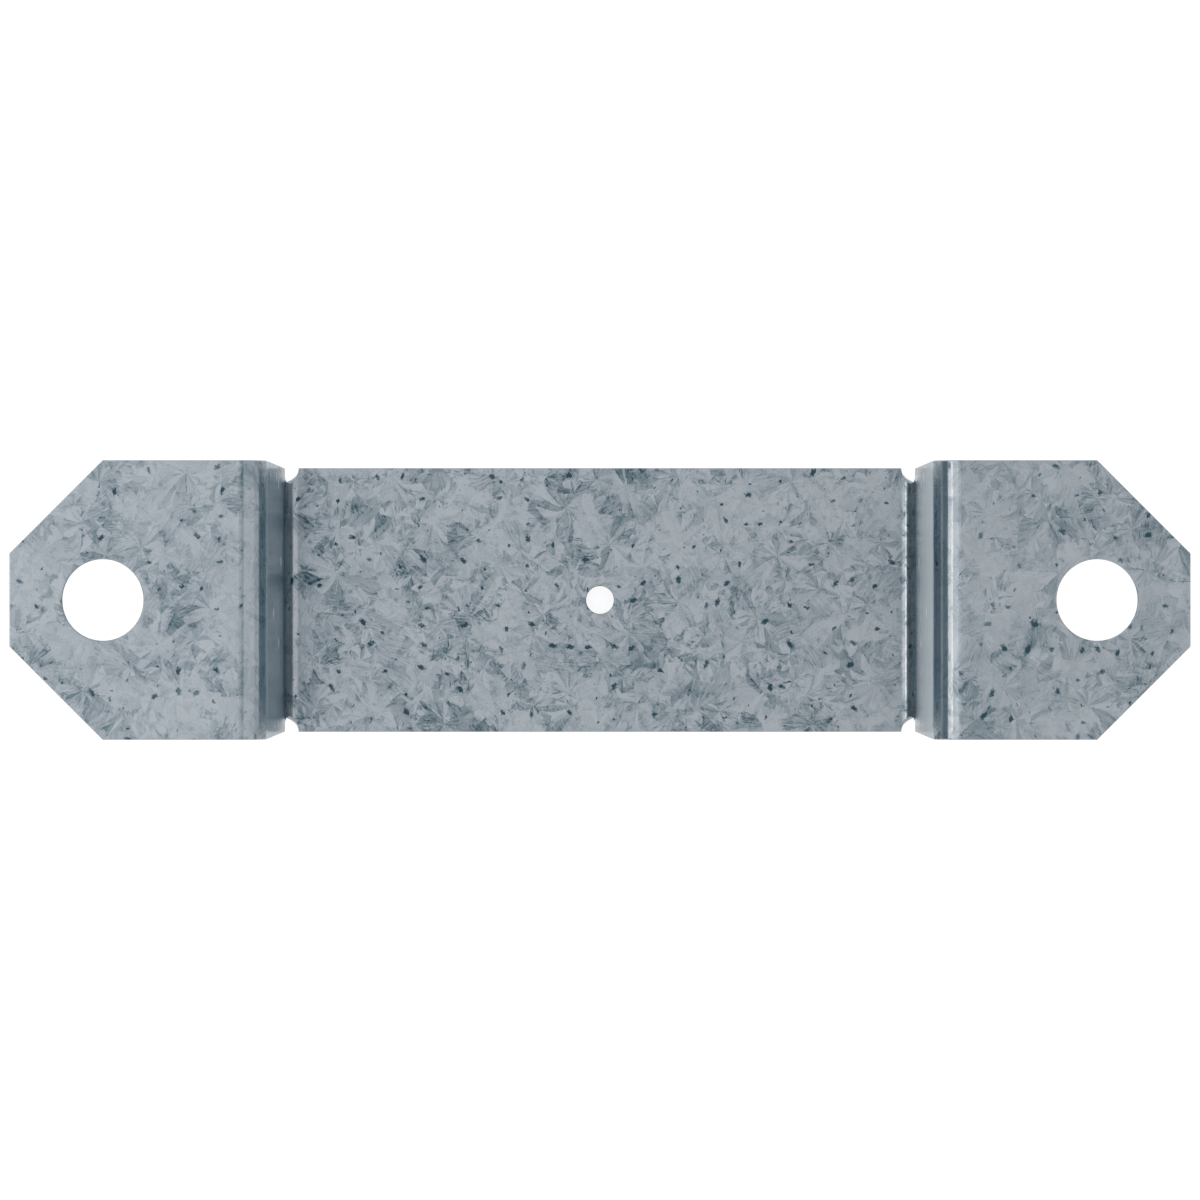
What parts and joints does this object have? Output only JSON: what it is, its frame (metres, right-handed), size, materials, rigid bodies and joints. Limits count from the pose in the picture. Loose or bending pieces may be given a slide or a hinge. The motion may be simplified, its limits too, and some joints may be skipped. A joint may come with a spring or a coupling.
{
  "type": "deck post tie",
  "caption": "Folded galvanised strap: a deep square-cornered channel holds a deck post, and a cropped-corner flange at each side bolts to the framing.",
  "frame": {"origin": "centre of the back plate's outer face, on which the part rests", "axes": "+X along the strap's length, +Y across the strap, +Z from the back of the channel towards its open mouth and the flanges' bolting faces"},
  "size_m": [0.1608, 0.0382, 0.0908],
  "materials": {
    "galvanised_steel": "hot-dip galvanised, blue-grey with a fine feathery spangle, semi-matt"
  },
  "bodies": {
    "root": {"folded_strap": "galvanised_steel"}
  },
  "joints": []
}
